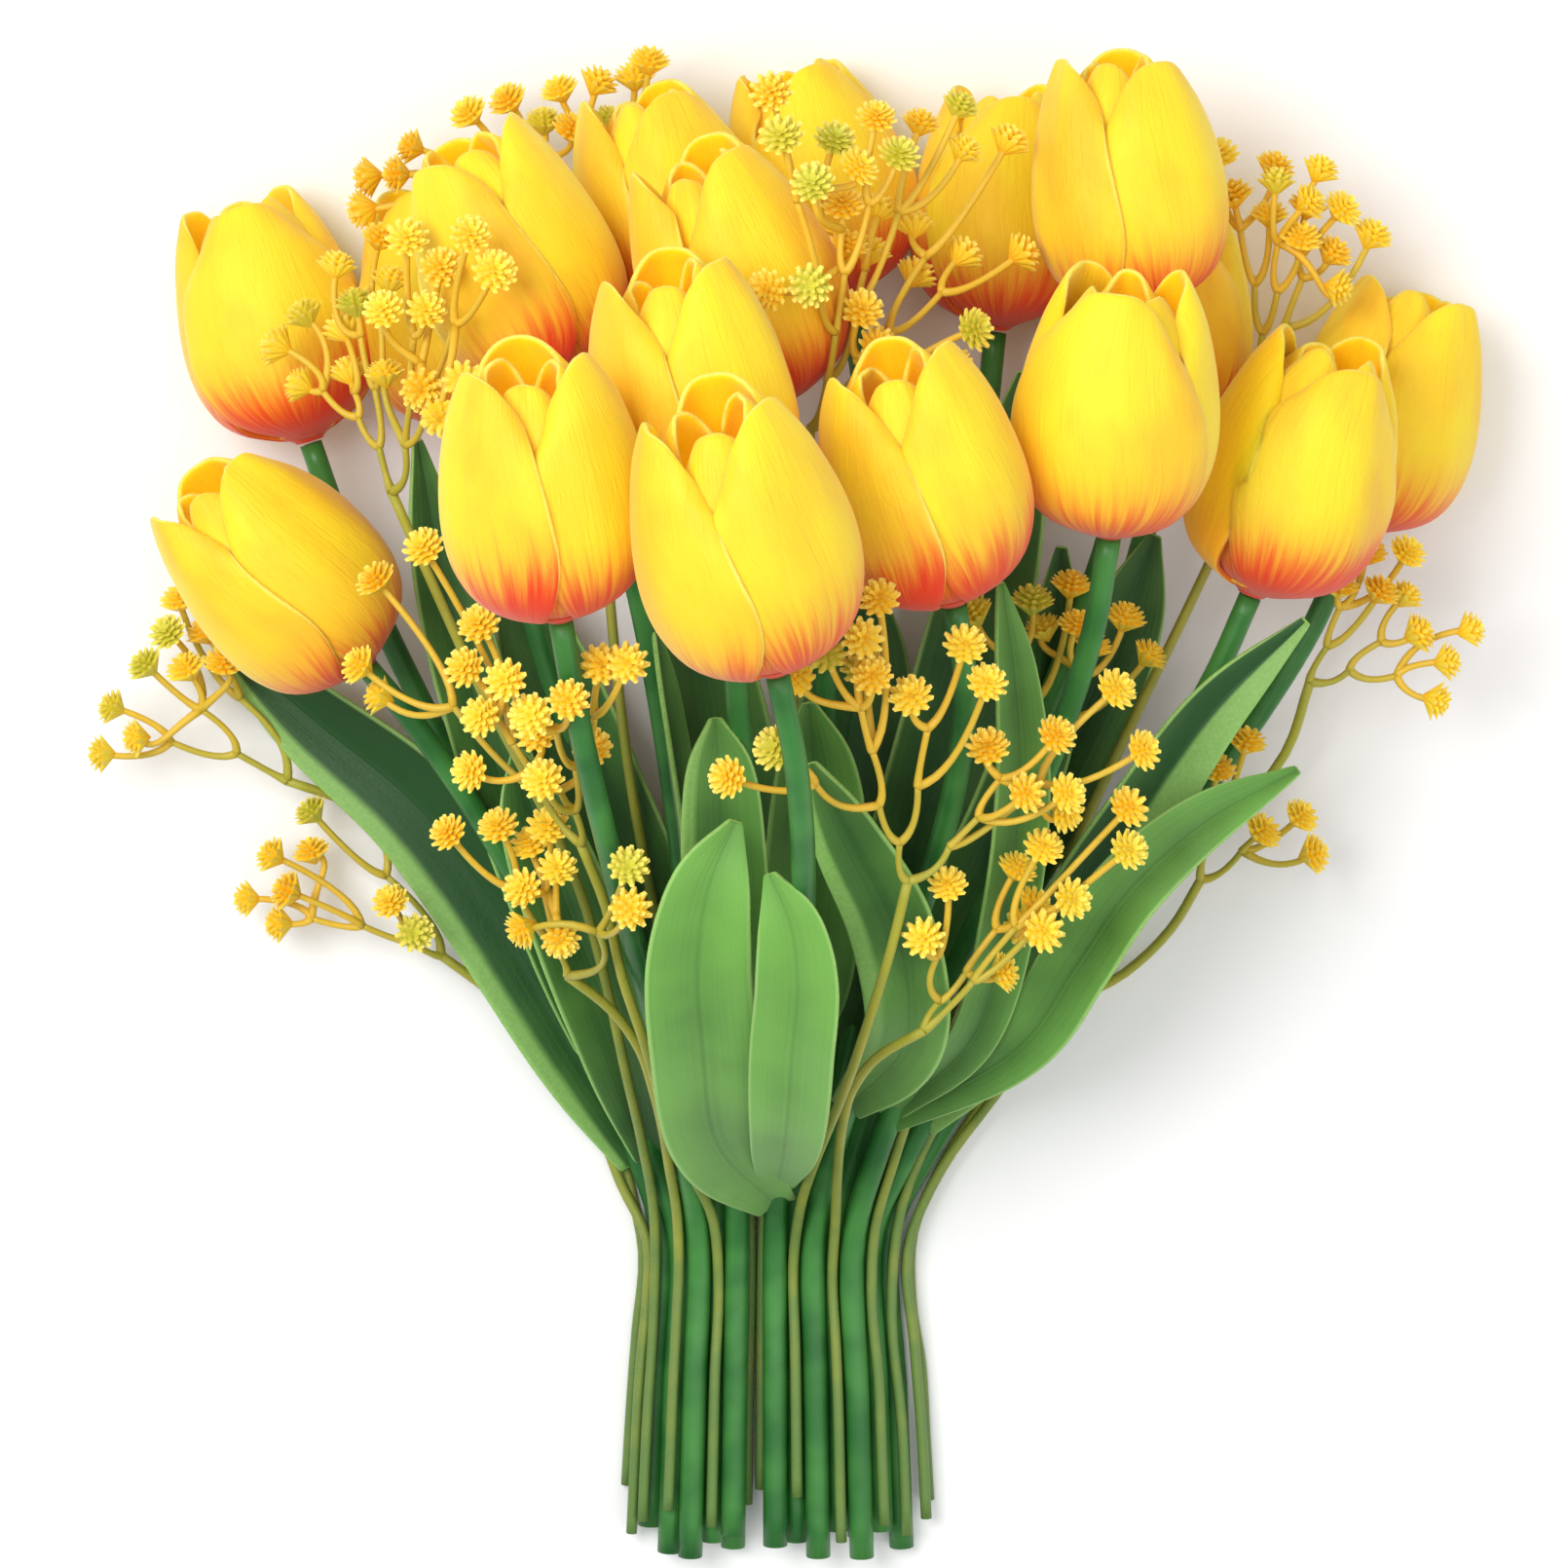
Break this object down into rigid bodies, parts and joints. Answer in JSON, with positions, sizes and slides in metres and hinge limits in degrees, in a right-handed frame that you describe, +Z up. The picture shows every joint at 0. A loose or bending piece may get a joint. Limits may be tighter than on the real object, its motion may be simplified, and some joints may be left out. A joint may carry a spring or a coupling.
{
  "type": "bunch of tulips",
  "caption": "Lying bunch of yellow and orange tulips with folded green leaves and forked sprays of small golden florets.",
  "frame": {"origin": "bottom centre of the bunch's box, on the surface that it lies on", "axes": "+Y from the stem ends to the blooms, +Z up from the surface, +X to the right with the blooms at the top"},
  "size_m": [0.3088, 0.3442, 0.1767],
  "materials": {
    "petal": "soft matte foam, yellow tips, orange red base",
    "leaf": "soft matte foam leaves and satin plastic stems",
    "floret": "matte moulded plastic, golden florets on olive stalks"
  },
  "bodies": {
    "root": {"tulip_01_bloom": "petal", "tulip_02_bloom": "petal", "tulip_03_bloom": "petal", "tulip_04_bloom": "petal", "tulip_05_bloom": "petal", "tulip_06_bloom": "petal", "tulip_07_bloom": "petal", "tulip_08_bloom": "petal", "tulip_09_bloom": "petal", "tulip_10_bloom": "petal", "tulip_11_bloom": "petal", "tulip_12_bloom": "petal", "tulip_13_bloom": "petal", "tulip_14_bloom": "petal", "tulip_15_bloom": "petal", "tulip_16_bloom": "petal", "tulip_17_bloom": "petal", "tulip_01_leafy_stem": "leaf", "tulip_02_leafy_stem": "leaf", "tulip_03_leafy_stem": "leaf", "tulip_04_leafy_stem": "leaf", "tulip_05_leafy_stem": "leaf", "tulip_06_leafy_stem": "leaf", "tulip_07_leafy_stem": "leaf", "tulip_08_leafy_stem": "leaf", "tulip_09_leafy_stem": "leaf", "tulip_10_leafy_stem": "leaf", "tulip_11_leafy_stem": "leaf", "tulip_12_leafy_stem": "leaf", "tulip_13_leafy_stem": "leaf", "tulip_14_leafy_stem": "leaf", "tulip_15_leafy_stem": "leaf", "tulip_16_leafy_stem": "leaf", "tulip_17_leafy_stem": "leaf", "spray_01": "floret", "spray_02": "floret", "spray_03": "floret", "spray_04": "floret", "spray_05": "floret", "spray_06": "floret", "spray_07": "floret", "spray_08": "floret", "spray_09": "floret", "spray_10": "floret", "spray_11": "floret", "spray_12": "floret", "spray_13": "floret"}
  },
  "joints": []
}
